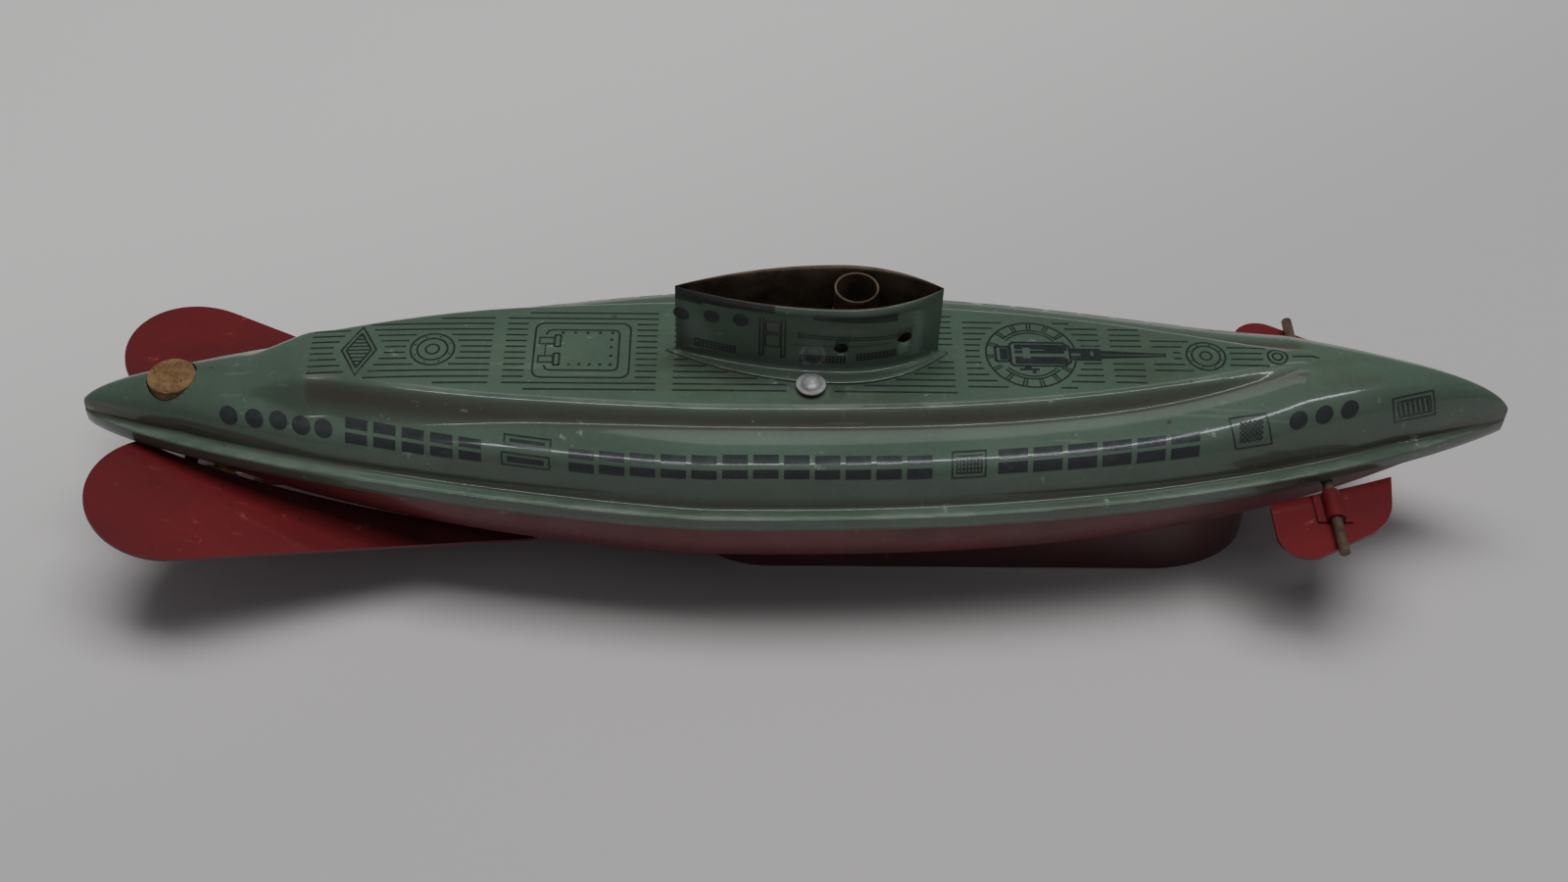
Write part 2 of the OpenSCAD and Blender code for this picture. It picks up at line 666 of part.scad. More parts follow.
upper_hull();
lower_hull();
tower_port();
tower_starboard();
tower_rivets();
winding_tube();
ballast_keel();
ballast_weight();
keel_screws();
tail_plane();
tail_plane_rivets();
tail_plane_brackets();
stern_tube();
shaft_bracket();
rudder_bush();
rudder_stock();
rudder_blade();
bow_bushes();
bow_rod();
bow_plane_port();
bow_plane_starboard();
bow_straps();
motor_plate_lower();
motor_plate_upper();
motor_pillars();
pillar_nuts();
motor_feet();
mainspring();
winding_arbor();
ratchet_wheel();
great_wheel();
click();
click_rivet();
click_spring();
second_arbor();
drive_pinion();
crown_wheel();
shaft_bearing();
propeller_shaft();
shaft_pinion();
propeller();
propeller_nut();
cork_plug();
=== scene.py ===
"""Looks of the clockwork tin submarine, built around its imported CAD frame.

Shapes are worked out in millimetres in the hull's own terms: x along the hull, w out from its
middle plane, rise above the rim plane, and s, the distance up the hull's side from the flange.
"""
import json
import math

import bmesh
import bpy
import numpy as np
from mathutils import Matrix, Vector, noise


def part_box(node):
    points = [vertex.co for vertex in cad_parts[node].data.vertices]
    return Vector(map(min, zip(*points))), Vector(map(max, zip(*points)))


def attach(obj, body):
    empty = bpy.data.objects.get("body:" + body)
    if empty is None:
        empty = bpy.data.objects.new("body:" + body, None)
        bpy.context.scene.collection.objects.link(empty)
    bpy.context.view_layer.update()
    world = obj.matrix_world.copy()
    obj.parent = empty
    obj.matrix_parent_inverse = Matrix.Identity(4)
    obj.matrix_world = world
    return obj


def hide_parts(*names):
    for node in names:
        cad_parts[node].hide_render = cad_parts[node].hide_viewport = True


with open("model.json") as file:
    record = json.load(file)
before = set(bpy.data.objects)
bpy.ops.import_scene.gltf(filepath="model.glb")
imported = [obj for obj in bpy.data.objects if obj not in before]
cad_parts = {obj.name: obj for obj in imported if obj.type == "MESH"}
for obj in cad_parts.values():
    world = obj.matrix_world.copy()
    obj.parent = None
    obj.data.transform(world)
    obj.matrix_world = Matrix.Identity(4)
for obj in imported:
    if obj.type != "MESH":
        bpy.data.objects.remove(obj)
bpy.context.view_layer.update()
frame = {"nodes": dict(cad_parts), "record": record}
nodes = frame["nodes"]
scene = bpy.context.scene

MM = 0.001


# ---------- Sizes, from the frame ----------
def size_box(node):
    """A node's lowest and highest corner in millimetres."""
    low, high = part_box(node)
    return low / MM, high / MM


hull_low, hull_high = size_box("upper_hull")
tube_low, tube_high = size_box("winding_tube")
cork_low, cork_high = size_box("cork_plug")

HALF_LEN = hull_high.x
RIM_HALF = hull_high.y
LIP_H = 3.6                                  # height of the lip below the rim plane
RIM_Z = hull_low.z + LIP_H
DECK = hull_high.z - RIM_Z
DEPTH = 29.3                                 # of the lower hull at its deepest
DEPTH_X = -5.0                               # where that is
TIP_PAD = 0.8                                # how far past the tips the hull's curves run
BEAM_X = -20.0                               # where the hull is widest
FLANGE_W = 3.3
FLANGE_RISE = 0.5
STERN_END = -110.0                           # the crown rounds off aft of here
BOW_START = 112.0                            # and forward of here
CROWN_LOW = 12.0                             # height of the body's crown at the stern,
CROWN_MID = 15.3                             # amidships
CROWN_BOW = 18.6                             # and at the bow
CROWN_MID_X = 40.0                           # from here it rises towards the bow
CASING_END = 122.0                           # the casing's plan is at its narrowest by here
RAMP_X = -112.5                              # the casing falls to the stern from here
RAMP_SLOPE = 0.42
NOSE_X = 116.0                               # and to the bow from here
NOSE_SLOPE = 0.8
AFT_FALL_X = -65.0                           # the deck itself bends down aft of here,
AFT_FALL = 1.3                               # by this much
AFT_FALL_LEN = 47.0                          # over this length
DECK_CROWN = 0.3                             # fall of the deck from its middle to its edge
CASING_WALL = 1.85                           # fall of the casing's wall per millimetre outward
HULL_BOX = 2.45                              # exponent of the lower hull's cross section
SHEET = 0.5                                  # what the eye takes the tin for
TUBE_X = (tube_low.x + tube_high.x) / 2
CORK_X = (cork_low.x + cork_high.x) / 2
CORK_R = (cork_high.y - cork_low.y) / 2
CORK_FIT = 0.985                             # share of that radius that the rough cork fills
CORK_TAPER = 0.05
CORK_CORNER = 22                             # the higher, the sharper the cork's rims
TUBE_HOLE_R = 4.4


# ---------- Lines of the hull ----------
def run_out(x, full_x):
    """0 at the fullest place, 1 just past the tip on that side."""
    reach = HALF_LEN + TIP_PAD + (full_x if x < full_x else -full_x)
    return min(abs(x - full_x) / reach, 0.9999)


def ease(t):
    t = min(1.0, max(0.0, t))
    return t * t * (3 - 2 * t)


def rim_at(x):
    t = run_out(x, BEAM_X)
    if x < BEAM_X:
        return RIM_HALF * (1 - t ** 1.3) ** 0.66
    return RIM_HALF * (1 - t ** 2.35) ** 0.9


def depth_at(x):
    return DEPTH * (1 - run_out(x, DEPTH_X) ** (2.6 if x < DEPTH_X else 3.1))


def crown_rise(x):
    if x < STERN_END:
        t = (STERN_END - x) / (HALF_LEN + TIP_PAD + STERN_END)
        return CROWN_LOW * math.sqrt(max(0.0, 1 - t ** 2.2))
    if x < CROWN_MID_X:
        return CROWN_LOW + (CROWN_MID - CROWN_LOW) * ease((x - STERN_END) / 50)
    if x < BOW_START:
        t = (x - CROWN_MID_X) / (BOW_START - CROWN_MID_X)
        return CROWN_MID + (CROWN_BOW - CROWN_MID) * t ** 4
    t = (x - BOW_START) / (HALF_LEN + TIP_PAD - BOW_START)
    return CROWN_BOW * math.sqrt(max(0.0, 1 - t ** 1.9))


def flange_at(x):
    return rim_at(x) - FLANGE_W * min(1.0, rim_at(x) / 12)


def boxiness(x):
    return 2.15 + 2.05 * (rim_at(x) / RIM_HALF) ** 4


def casing_half(x):
    if x < BEAM_X:
        share = max(0.71, 1 - (max(0.0, -60 - x) / 81) ** 2.2)
    else:
        share = 1 - (max(0.0, x - BEAM_X) / (CASING_END - BEAM_X)) ** 3.3
    return rim_at(x) * max(0.12, 0.5 * share)


def body_rise(x, w):
    n = boxiness(x)
    full = max(0.0, 1 - (w / flange_at(x)) ** n)
    return FLANGE_RISE + (crown_rise(x) - FLANGE_RISE) * full ** (1 / n)


def soft_max(a, b, softness):
    """The larger of two heights, rounded off where they cross."""
    return (a + b + math.sqrt((a - b) ** 2 + softness)) / 2


def casing_rise(x, w):
    half = casing_half(x)
    over = soft_max(w - half - 0.25, 0.0, 0.5)
    ramp = soft_max(RAMP_X - x, 0.0, 1.5)
    plateau = DECK - DECK_CROWN * min(1.0, w / half) ** 2 - CASING_WALL * over
    aft_fall = AFT_FALL * (max(0.0, AFT_FALL_X - x) / AFT_FALL_LEN) ** 2
    return plateau - aft_fall - RAMP_SLOPE * ramp - NOSE_SLOPE * max(0.0, x - NOSE_X)


def rise_at(x, w):
    """Height of the upper hull above the rim plane, with soft folds between casing and body."""
    return soft_max(body_rise(x, w), casing_rise(x, w), 0.7)


# ---------- Camera, floor and light ----------
CAMERA_X = -0.0136                           # metres from the hull's middle
CAMERA_Y = -0.3197
CAMERA_RISE = 0.3377                         # metres above the rim plane
CAMERA_DOWN = 47.415                         # degrees below level
CAMERA_YAW = 1.784
CAMERA_ROLL = 1.815
CAMERA_LENS = 45.9


def aim(obj, eye, target):
    obj.location = Vector(eye)
    obj.rotation_euler = (Vector(target) - Vector(eye)).to_track_quat("-Z", "Y").to_euler()


def make_camera():
    """The camera stands in front of the hull, above it, and is turned by small yaw and roll."""
    down, yaw, roll = (math.radians(a) for a in (CAMERA_DOWN, CAMERA_YAW, CAMERA_ROLL))
    look = Vector((math.sin(yaw) * math.cos(down), math.cos(yaw) * math.cos(down), -math.sin(down)))
    level = look.cross(Vector((0, 0, 1))).normalized()
    upward = level.cross(look)
    right = level * math.cos(roll) + upward * math.sin(roll)
    top = upward * math.cos(roll) - level * math.sin(roll)
    camera = bpy.data.objects.new("camera", bpy.data.cameras.new("camera"))
    turn = Matrix((right, top, -look)).transposed().to_4x4()
    eye = Vector((CAMERA_X, CAMERA_Y, CAMERA_RISE + RIM_Z * MM))
    camera.matrix_world = Matrix.Translation(eye) @ turn
    camera.data.sensor_width = 36
    camera.data.lens = CAMERA_LENS
    camera.data.clip_start = 0.01
    scene.collection.objects.link(camera)
    scene.camera = camera


def area_light(name, eye, target, power, width, depth, colour=(1, 1, 1), mirrored=True,
               lighting=True):
    data = bpy.data.lights.new(name, "AREA")
    data.shape = "RECTANGLE"
    data.size = width
    data.size_y = depth
    data.energy = power
    data.color = colour
    light = bpy.data.objects.new(name, data)
    aim(light, eye, target)
    scene.collection.objects.link(light)
    light.visible_glossy = mirrored
    light.visible_diffuse = lighting


def make_stage():
    bpy.ops.mesh.primitive_plane_add(size=6, location=(0, 0, -0.0002))
    floor = bpy.context.object
    floor.name = "floor"
    floor.data.materials.append(floor_material())
    world = bpy.data.worlds.new("room")
    world.use_nodes = True
    world.node_tree.nodes["Background"].inputs["Color"].default_value = (0.95, 0.97, 1.0, 1)
    world.node_tree.nodes["Background"].inputs["Strength"].default_value = 0.16
    scene.world = world
    area_light("overhead", (0.06, 0.12, 1.4), (0.03, 0, 0), 17, 1.3, 0.6, (1.0, 0.985, 0.96), False)
    area_light("window", (0.06, 0.32, 1.5), (0.03, 0, 0), 1.6, 1.2, 0.30, (0.96, 0.98, 1.0))
    area_light("front_strip", (0.12, -0.62, 0.85), (0.02, 0, 0.04), 4.2, 1.5, 0.05, (0.93, 0.97, 1.0),
               lighting=False)


# ---------- Materials ----------
class Shader:
    """A material under construction: short calls that add and join its nodes."""

    def __init__(self, name):
        self.material = bpy.data.materials.new(name)
        self.material.use_nodes = True
        self.tree = self.material.node_tree
        self.out = self.tree.nodes["Principled BSDF"]
        self.place = self.node("ShaderNodeTexCoord").outputs["Object"]

    def node(self, kind, **settings):
        made = self.tree.nodes.new(kind)
        for key, value in settings.items():
            setattr(made, key, value)
        return made

    def join(self, source, target):
        self.tree.links.new(source, target)

    def noise(self, scale, detail=4, rough=0.55, stretch=(1, 1, 1), seed=0.0):
        """Noise from 0 to 1 with features of about 1/scale metres."""
        mapping = self.node("ShaderNodeMapping")
        mapping.inputs["Scale"].default_value = stretch
        mapping.inputs["Location"].default_value = (seed, seed * 0.7, seed * 1.3)
        self.join(self.place, mapping.inputs["Vector"])
        texture = self.node("ShaderNodeTexNoise")
        texture.inputs["Scale"].default_value = scale
        texture.inputs["Detail"].default_value = detail
        texture.inputs["Roughness"].default_value = rough
        self.join(mapping.outputs["Vector"], texture.inputs["Vector"])
        return texture.outputs["Fac"]

    def band(self, source, low, high, low_out=0.0, high_out=1.0):
        """source mapped smoothly from low..high to low_out..high_out."""
        ramp = self.node("ShaderNodeMapRange", interpolation_type="SMOOTHSTEP")
        for name, value in (("From Min", low), ("From Max", high),
                            ("To Min", low_out), ("To Max", high_out)):
            ramp.inputs[name].default_value = value
        self.join(source, ramp.inputs["Value"])
        return ramp.outputs["Result"]

    def mix(self, share, first, second):
        """Colour first, turning into second where share is 1."""
        made = self.node("ShaderNodeMix", data_type="RGBA")
        self.feed(share, made.inputs[0])
        self.feed(first, made.inputs[6])
        self.feed(second, made.inputs[7])
        return made.outputs[2]

    def times(self, first, second):
        made = self.node("ShaderNodeMath", operation="MULTIPLY")
        self.feed(first, made.inputs[0])
        self.feed(second, made.inputs[1])
        return made.outputs[0]

    def most(self, first, second):
        made = self.node("ShaderNodeMath", operation="MAXIMUM")
        self.feed(first, made.inputs[0])
        self.feed(second, made.inputs[1])
        return made.outputs[0]

    def feed(self, value, target):
        if isinstance(value, bpy.types.NodeSocket):
            self.join(value, target)
        elif isinstance(value, tuple) and len(value) == 3:
            target.default_value = (*value, 1)
        else:
            target.default_value = value

    def set(self, **sockets):
        for name, value in sockets.items():
            self.feed(value, self.out.inputs[name.replace("_", " ")])

    def bump(self, height, distance, strength=1.0):
        made = self.node("ShaderNodeBump")
        made.inputs["Strength"].default_value = strength
        made.inputs["Distance"].default_value = distance
        self.join(height, made.inputs["Height"])
        self.join(made.outputs["Normal"], self.out.inputs["Normal"])

    def masks(self):
        """Painted shade in the channel and the flange fold (Red), and edges worn bright with a painted
        highlight along the deck's edge (Green), as stored on the mesh.
        """
        stored = self.node("ShaderNodeAttribute", attribute_name="masks")
        parts = self.node("ShaderNodeSeparateColor")
        self.join(stored.outputs["Color"], parts.inputs["Color"])
        return parts.outputs


def scratches(shader, scale, seed):
    """Fine hairline marks that run along the hull, and others that cross it."""
    along = shader.band(shader.noise(scale, 2, 0.5, (0.12, 2.2, 2.2), seed), 0.69, 0.74)
    across = shader.band(shader.noise(scale, 2, 0.5, (2.4, 0.2, 0.3), seed + 3), 0.72, 0.77)
    return shader.most(along, across)


def enamel(name, colour, shade, worn, grime_and_crease_shade, rust, seed, gloss=0.44, worn_level=0.64,
           coat=0.75):
    """Aged gloss lithography on tin: uneven tone, brown handling dirt, rust freckles and rubs, with painted
    shade in the channel and the flange fold and a painted highlight along the deck's edge where the mesh's
    masks say.
    """
    s = Shader(name)
    tone = s.band(s.noise(26, 5, 0.6, (0.6, 1, 1), seed), 0.35, 0.68)
    base = s.mix(tone, shade, colour)
    fine = s.band(s.noise(900, 3, 0.6, seed=seed), 0.3, 0.7, 0.0, 0.16)
    base = s.mix(fine, base, tuple(c * 1.35 for c in colour))
    masks = s.masks()
    dirt = s.band(s.noise(55, 6, 0.65, (0.5, 1, 1.4), seed + 5), 0.52, 0.74, 0.0, 0.5)
    patches = s.band(s.noise(38, 5, 0.6, (0.4, 1, 1), seed + 6), 0.2, 0.6, 0.35, 1.0)
    # Red mask: painted shade, in patches, in the channel at the casing's foot and in the flange fold; the
    # noise dirt is real dirt. Both take the same dark colour.
    painted_crease_shade = s.times(masks["Red"], patches)
    base = s.mix(s.most(dirt, painted_crease_shade), base, grime_and_crease_shade)
    marks = scratches(s, 210, seed + 1)
    rub = s.band(s.noise(170, 5, 0.7, seed=seed + 9), worn_level, worn_level + 0.08, 0.0, 0.75)
    # Green mask: worn edges; along the deck's edge it is a painted highlight as well.
    edges = s.times(masks["Green"], s.band(s.noise(130, 4, 0.7, (0.3, 1, 1), seed + 8), 0.42, 0.62))
    bare = s.most(s.most(s.times(marks, 0.16), rub), s.times(edges, 0.4))
    base = s.mix(bare, base, worn)
    spots = s.band(s.noise(420, 2, 0.5, seed=seed + 2), 0.74, 0.79, 0.0, 0.8)
    base = s.mix(spots, base, rust)
    rough = s.band(s.noise(75, 5, 0.6, seed=seed + 7), 0.3, 0.72, gloss, gloss + 0.17)
    s.set(Base_Color=base, Roughness=rough)
    s.set(Coat_Weight=coat, Coat_Roughness=0.10, IOR=1.5, Metallic=0.05)
    s.bump(s.noise(330, 4, 0.6, seed=seed + 4), 0.00005, 0.5)
    return s.material


def worn_metal(name, colour, dark, gloss, seed, grain=(0.15, 1, 1), metallic=1.0):
    """Handled metal with a drawn grain, dark tarnish and small pits."""
    s = Shader(name)
    tarnish = s.band(s.noise(160, 5, 0.65, seed=seed), 0.38, 0.7, 0.0, 0.85)
    base = s.mix(tarnish, colour, dark)
    pits = s.band(s.noise(1100, 2, 0.5, seed=seed + 2), 0.68, 0.75, 0.0, 0.6)
    base = s.mix(pits, base, tuple(c * 0.35 for c in dark))
    rough = s.band(s.noise(420, 3, 0.6, grain, seed + 1), 0.3, 0.7, gloss, gloss + 0.22)
    s.set(Base_Color=base, Roughness=rough, Metallic=metallic)
    s.bump(s.noise(700, 3, 0.6, grain, seed + 3), 0.00004, 0.5)
    return s.material


def ink_material(name, colour, faded, seed):
    """Printed ink under the same gloss as the enamel, rubbed thin in places."""
    s = Shader(name)
    thin = s.band(s.noise(240, 5, 0.7, seed=seed), 0.5, 0.72, 0.0, 0.75)
    grain = s.band(s.noise(1500, 2, 0.6, seed=seed + 3), 0.42, 0.7, 0.0, 0.35)
    s.set(Base_Color=s.mix(s.most(thin, grain), colour, faded))
    s.set(Roughness=s.band(s.noise(300, 4, 0.6, seed=seed + 1), 0.3, 0.7, 0.4, 0.55))
    s.set(Coat_Weight=0.4, Coat_Roughness=0.12)
    s.bump(s.noise(900, 3, 0.6, seed=seed + 2), 0.00003, 0.5)
    return s.material


def cork_material():
    s = Shader("cork")
    grain = s.band(s.noise(420, 5, 0.7, seed=3), 0.34, 0.68)
    base = s.mix(grain, (0.125, 0.070, 0.030), (0.225, 0.135, 0.064))
    holes = s.band(s.noise(850, 3, 0.6, seed=8), 0.6, 0.7)
    base = s.mix(holes, base, (0.030, 0.015, 0.008))
    wide = s.band(s.noise(150, 3, 0.5, seed=11), 0.45, 0.7, 0.0, 0.4)
    s.set(Base_Color=s.mix(wide, base, (0.080, 0.045, 0.022)), Roughness=0.9)
    s.bump(s.noise(620, 5, 0.7, seed=3), 0.0004, 0.9)
    return s.material


def floor_material():
    """A pale table top with painted light falloff: darker towards the near right."""
    s = Shader("pale_table")
    light_falloff = s.node("ShaderNodeVectorMath", operation="DOT_PRODUCT")
    s.join(s.place, light_falloff.inputs[0])
    light_falloff.inputs[1].default_value = (-0.6, 1.0, 0.0)
    # Painted light falloff: the table is lighter towards the far left.
    tone = s.band(light_falloff.outputs["Value"], -0.02, 0.24)
    base = s.mix(tone, (0.485, 0.475, 0.48), (0.66, 0.655, 0.655))
    fine = s.band(s.noise(3, 3, 0.5), 0.3, 0.7, 0.0, 0.06)
    base = s.mix(fine, base, (0.56, 0.55, 0.55))
    s.set(Base_Color=base, Roughness=0.8, Specular_IOR_Level=0.2)
    return s.material


GREEN = (0.068, 0.110, 0.077)
RED = (0.140, 0.009, 0.012)
mats = {
    "green_tin": enamel("green_enamel", GREEN, (0.048, 0.080, 0.055), (0.22, 0.25, 0.21),
                        (0.048, 0.045, 0.028), (0.045, 0.026, 0.014), 1.0),
    "red_tin": enamel("red_enamel", RED, (0.095, 0.008, 0.011), (0.24, 0.07, 0.06),
                      (0.060, 0.010, 0.009), (0.030, 0.014, 0.010), 21.0, coat=0.3),
    # Painted shade: a darker copy of the red enamel, for the red part that sits in the hull's shadow.
    "dark_red_tin": enamel("red_enamel_painted_shade", (0.085, 0.012, 0.015), (0.050, 0.008, 0.010),
                           (0.20, 0.10, 0.085), (0.045, 0.020, 0.016), (0.030, 0.014, 0.010), 33.0),
    "bare_tin": worn_metal("aged_tin", (0.150, 0.108, 0.075), (0.040, 0.028, 0.020), 0.36, 5.0,
                           metallic=0.45),
    "steel": worn_metal("steel", (0.60, 0.61, 0.63), (0.24, 0.22, 0.20), 0.26, 7.0, metallic=0.6),
    "spring_steel": worn_metal("spring_steel", (0.18, 0.21, 0.27), (0.07, 0.08, 0.10), 0.28, 9.0),
    "brass": worn_metal("brass", (0.24, 0.155, 0.065), (0.10, 0.062, 0.028), 0.42, 13.0, metallic=0.8),
    "lead": worn_metal("lead", (0.20, 0.21, 0.23), (0.08, 0.08, 0.09), 0.55, 15.0),
    "cork": cork_material(),
}
INK = ink_material("print_ink", (0.009, 0.012, 0.014), (0.034, 0.041, 0.037), 41.0)
LINE_INK = ink_material("line_ink", (0.010, 0.015, 0.012), (0.040, 0.056, 0.044), 47.0)
BLACK_TIN = ink_material("black_enamel", (0.007, 0.007, 0.008), (0.035, 0.034, 0.034), 53.0)


# ---------- Mesh helpers ----------
def new_piece(name, verts, faces, material, smooth=True):
    """A mesh object from points in millimetres."""
    mesh = bpy.data.meshes.new(name)
    mesh.from_pydata([tuple(c * MM for c in v) for v in verts], [], faces)
    mesh.validate()
    mesh.update()
    mesh.materials.append(material)
    mesh.shade_smooth() if smooth else mesh.shade_flat()
    piece = bpy.data.objects.new(name, mesh)
    scene.collection.objects.link(piece)
    return piece


def grid_faces(rows, cols, close_rows=False, close_cols=False, flip=False):
    """Quads between neighbouring rows of points."""
    faces = []
    for i in range(rows if close_rows else rows - 1):
        for j in range(cols if close_cols else cols - 1):
            a = i * cols + j
            b = i * cols + (j + 1) % cols
            c = (i + 1) % rows * cols + (j + 1) % cols
            d = (i + 1) % rows * cols + j
            faces.append((a, d, c, b) if flip else (a, b, c, d))
    return faces


def apply_modifiers(piece):
    """Replaces the mesh by what its modifiers make of it."""
    bpy.context.view_layer.update()
    depsgraph = bpy.context.evaluated_depsgraph_get()
    made = bpy.data.meshes.new_from_object(piece.evaluated_get(depsgraph))
    piece.modifiers.clear()
    piece.data = made


def cut(piece, cutters):
    """Drills cylinders out of a piece: each is (centre, axis, radius, length) in millimetres."""
    made = []
    for centre, axis, radius, length in cutters:
        bpy.ops.mesh.primitive_cylinder_add(radius=radius * MM, depth=length * MM, vertices=64)
        tool = bpy.context.object
        tool.rotation_euler = Vector(axis).to_track_quat("Z", "Y").to_euler()
        tool.location = Vector(centre) * MM
        made.append(tool)
        change = piece.modifiers.new("drill", "BOOLEAN")
        change.object = tool
        change.operation = "DIFFERENCE"
        change.solver = "EXACT"
    apply_modifiers(piece)
    for tool in made:
        bpy.data.objects.remove(tool)


def finish_piece(piece, body, replaces=()):
    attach(piece, body)
    if replaces:
        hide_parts(*replaces)
    return piece


def thicken(piece, thickness):
    """Gives an open sheet its thickness on the inner side."""
    change = piece.modifiers.new("sheet", "SOLIDIFY")
    change.thickness = thickness * MM
    change.offset = -1
    change.use_even_offset = False
    apply_modifiers(piece)


# ---------- Hull sheets ----------
STATIONS = 240                               # cross sections along the hull
SIDE_STEPS = 26                              # points up the side, from the flange to the casing's foot,
FOLD_STEPS = 22                              # over the channel and the deck's edge,
DECK_STEPS = 8                               # and from there to the middle
LOWER_STEPS = 32


def station(i):
    return -HALF_LEN * math.cos(math.pi * i / STATIONS)


def upper_half(x):
    """Half section from the lip's foot to the middle, as (w, rise)."""
    rim = rim_at(x)
    flange = flange_at(x)
    step = min(0.5, rim * 0.2)
    points = [(rim, -LIP_H), (rim, -LIP_H * 0.66), (rim, -LIP_H * 0.33), (rim, -0.7)]
    points += [(rim - step * 0.15, -0.3), (rim - step * 0.55, -0.05), (rim - step, 0.05)]
    for k in (0.25, 0.5, 0.75):
        points.append((rim - step + (flange - rim + step) * k, 0.05 + (FLANGE_RISE - 0.15) * k))
    n = boxiness(x)
    half = casing_half(x)
    foot = min(half + 5, 0.9 * flange)
    inner = min(max(0.3 * flange, half - 2), 0.8 * foot)
    last = math.acos((foot / flange) ** (n / 2))
    for k in range(SIDE_STEPS):
        w = flange * math.cos(last * k / SIDE_STEPS) ** (2 / n)
        points.append((w, rise_at(x, min(w, flange * 0.99999))))
    for k in range(FOLD_STEPS):
        w = foot + (inner - foot) * k / FOLD_STEPS
        points.append((w, rise_at(x, w)))
    for k in range(DECK_STEPS):
        w = inner * (1 - k / DECK_STEPS)
        points.append((w, rise_at(x, w)))
    points.append((0.0, rise_at(x, 0.0)))
    return points


def lower_half(x):
    """Half section of the lower hull from its top edge down to the keel line."""
    rim = rim_at(x)
    half = rim - min(1.0, 0.4 * rim)
    deep = max(2.4, depth_at(x))
    top = 0.9
    points = []
    for k in range(LOWER_STEPS + 1):
        turn = math.pi / 2 * k / LOWER_STEPS
        w = half * max(0.0, math.cos(turn)) ** (2 / HULL_BOX)
        points.append((w, -top - (deep - top) * math.sin(turn) ** (2 / HULL_BOX)))
    return points


def shell(name, half_section, scale, material, flip):
    """An open sheet lofted through mirrored half sections, with both tips closed."""
    verts = []
    for i in range(STATIONS + 1):
        x = station(i)
        half = half_section(x)
        whole = [(-w, z) for w, z in half] + [(w, z) for w, z in half[-2::-1]]
        verts += [(x * scale, w, z + RIM_Z) for w, z in whole]
    cols = len(verts) // (STATIONS + 1)
    faces = grid_faces(STATIONS + 1, cols, flip=flip)
    tail = [tuple(range(cols))]
    nose = [tuple(STATIONS * cols + j for j in range(cols))]
    if flip:
        faces += [f[::-1] for f in tail] + nose
    else:
        faces += tail + [f[::-1] for f in nose]
    return new_piece(name, verts, faces, material)


def fix_normals(piece):
    work = bmesh.new()
    work.from_mesh(piece.data)
    bmesh.ops.remove_doubles(work, verts=work.verts, dist=0.01 * MM)
    bmesh.ops.recalc_face_normals(work, faces=work.faces)
    work.to_mesh(piece.data)
    work.free()


def outward(piece, probe):
    """Turns a piece's faces so that the one nearest probe, in millimetres, faces it."""
    fix_normals(piece)
    target = Vector(probe) * MM
    face = min(piece.data.polygons, key=lambda f: (f.center - target).length)
    if face.normal.dot(target - face.center) < 0:
        piece.data.flip_normals()


def paint_masks(piece):
    """Stores where shade is painted (the channel and the flange fold) and where edges wear, with a painted
    highlight along the deck's edge.
    """
    stored = piece.data.color_attributes.new("masks", "FLOAT_COLOR", "POINT")
    for v, value in zip(piece.data.vertices, stored.data):
        x, w, z = v.co.x / MM, abs(v.co.y) / MM, v.co.z / MM - RIM_Z
        half = casing_half(x)
        flange = flange_at(x)
        on_deck = z > crown_rise(x) * 0.5
        # Red: painted shade in the channel at the casing's foot and in the flange fold.
        channel = math.exp(-((w - half - 2.2) / 1.7) ** 2) if on_deck and -112 < x < 114 else 0.0
        fold = math.exp(-((w - flange) / 0.9) ** 2) * 0.8 if z < 3 else 0.0
        # Along the deck's edge: wear, and a painted highlight as well.
        brink_wear_and_highlight = math.exp(-((w - half + 0.1) / 0.45) ** 2) if on_deck and -112 < x < 112 else 0.0
        lip = math.exp(-((z + 0.1) / 0.35) ** 2) if w > flange + 1 else 0.0
        foot = math.exp(-((z + LIP_H) / 0.4) ** 2) if w > flange + 1 else 0.0
        value.color = (max(channel, fold), max(brink_wear_and_highlight, lip, foot), 0.0, 1.0)


def make_hull():
    upper = shell("upper_hull_skin", upper_half, 1.0, mats["green_tin"], False)
    outward(upper, (0, 0, RIM_Z + 40))
    thicken(upper, SHEET)
    cut(upper, [((CORK_X, 0, RIM_Z + 12), (0, 0, 1), CORK_R + 0.1, 20),
                ((TUBE_X, 0, RIM_Z + DECK), (0, 0, 1), TUBE_HOLE_R, 8)])
    paint_masks(upper)
    finish_piece(upper, "hull", ["upper_hull"])
    lower = shell("lower_hull_skin", lower_half, (HALF_LEN - 1) / HALF_LEN, mats["red_tin"], True)
    outward(lower, (0, 0, -20))
    thicken(lower, SHEET)
    rod_low, rod_high = size_box("bow_rod")
    rod = (rod_low + rod_high) / 2
    tube_a, tube_b = size_box("stern_tube")
    shaft_z = (tube_a.z + tube_b.z) / 2
    cut(lower, [(tuple(rod), (0, 1, 0), (rod_high.z - rod_low.z) / 2 + 0.15, 60),
                ((tube_b.x - 15, 0, shaft_z), (1, 0, 0), (tube_b.z - tube_a.z) / 2 + 0.1, 60)])
    finish_piece(lower, "hull", ["lower_hull"])


# ---------- Printing on the hull ----------
PRINT_LIFT = 0.035


def deck_point(x, w):
    """A spot on the deck; w counts towards starboard."""
    return (x, -w, RIM_Z + rise_at(x, abs(w)) + PRINT_LIFT)


_arcs = {}


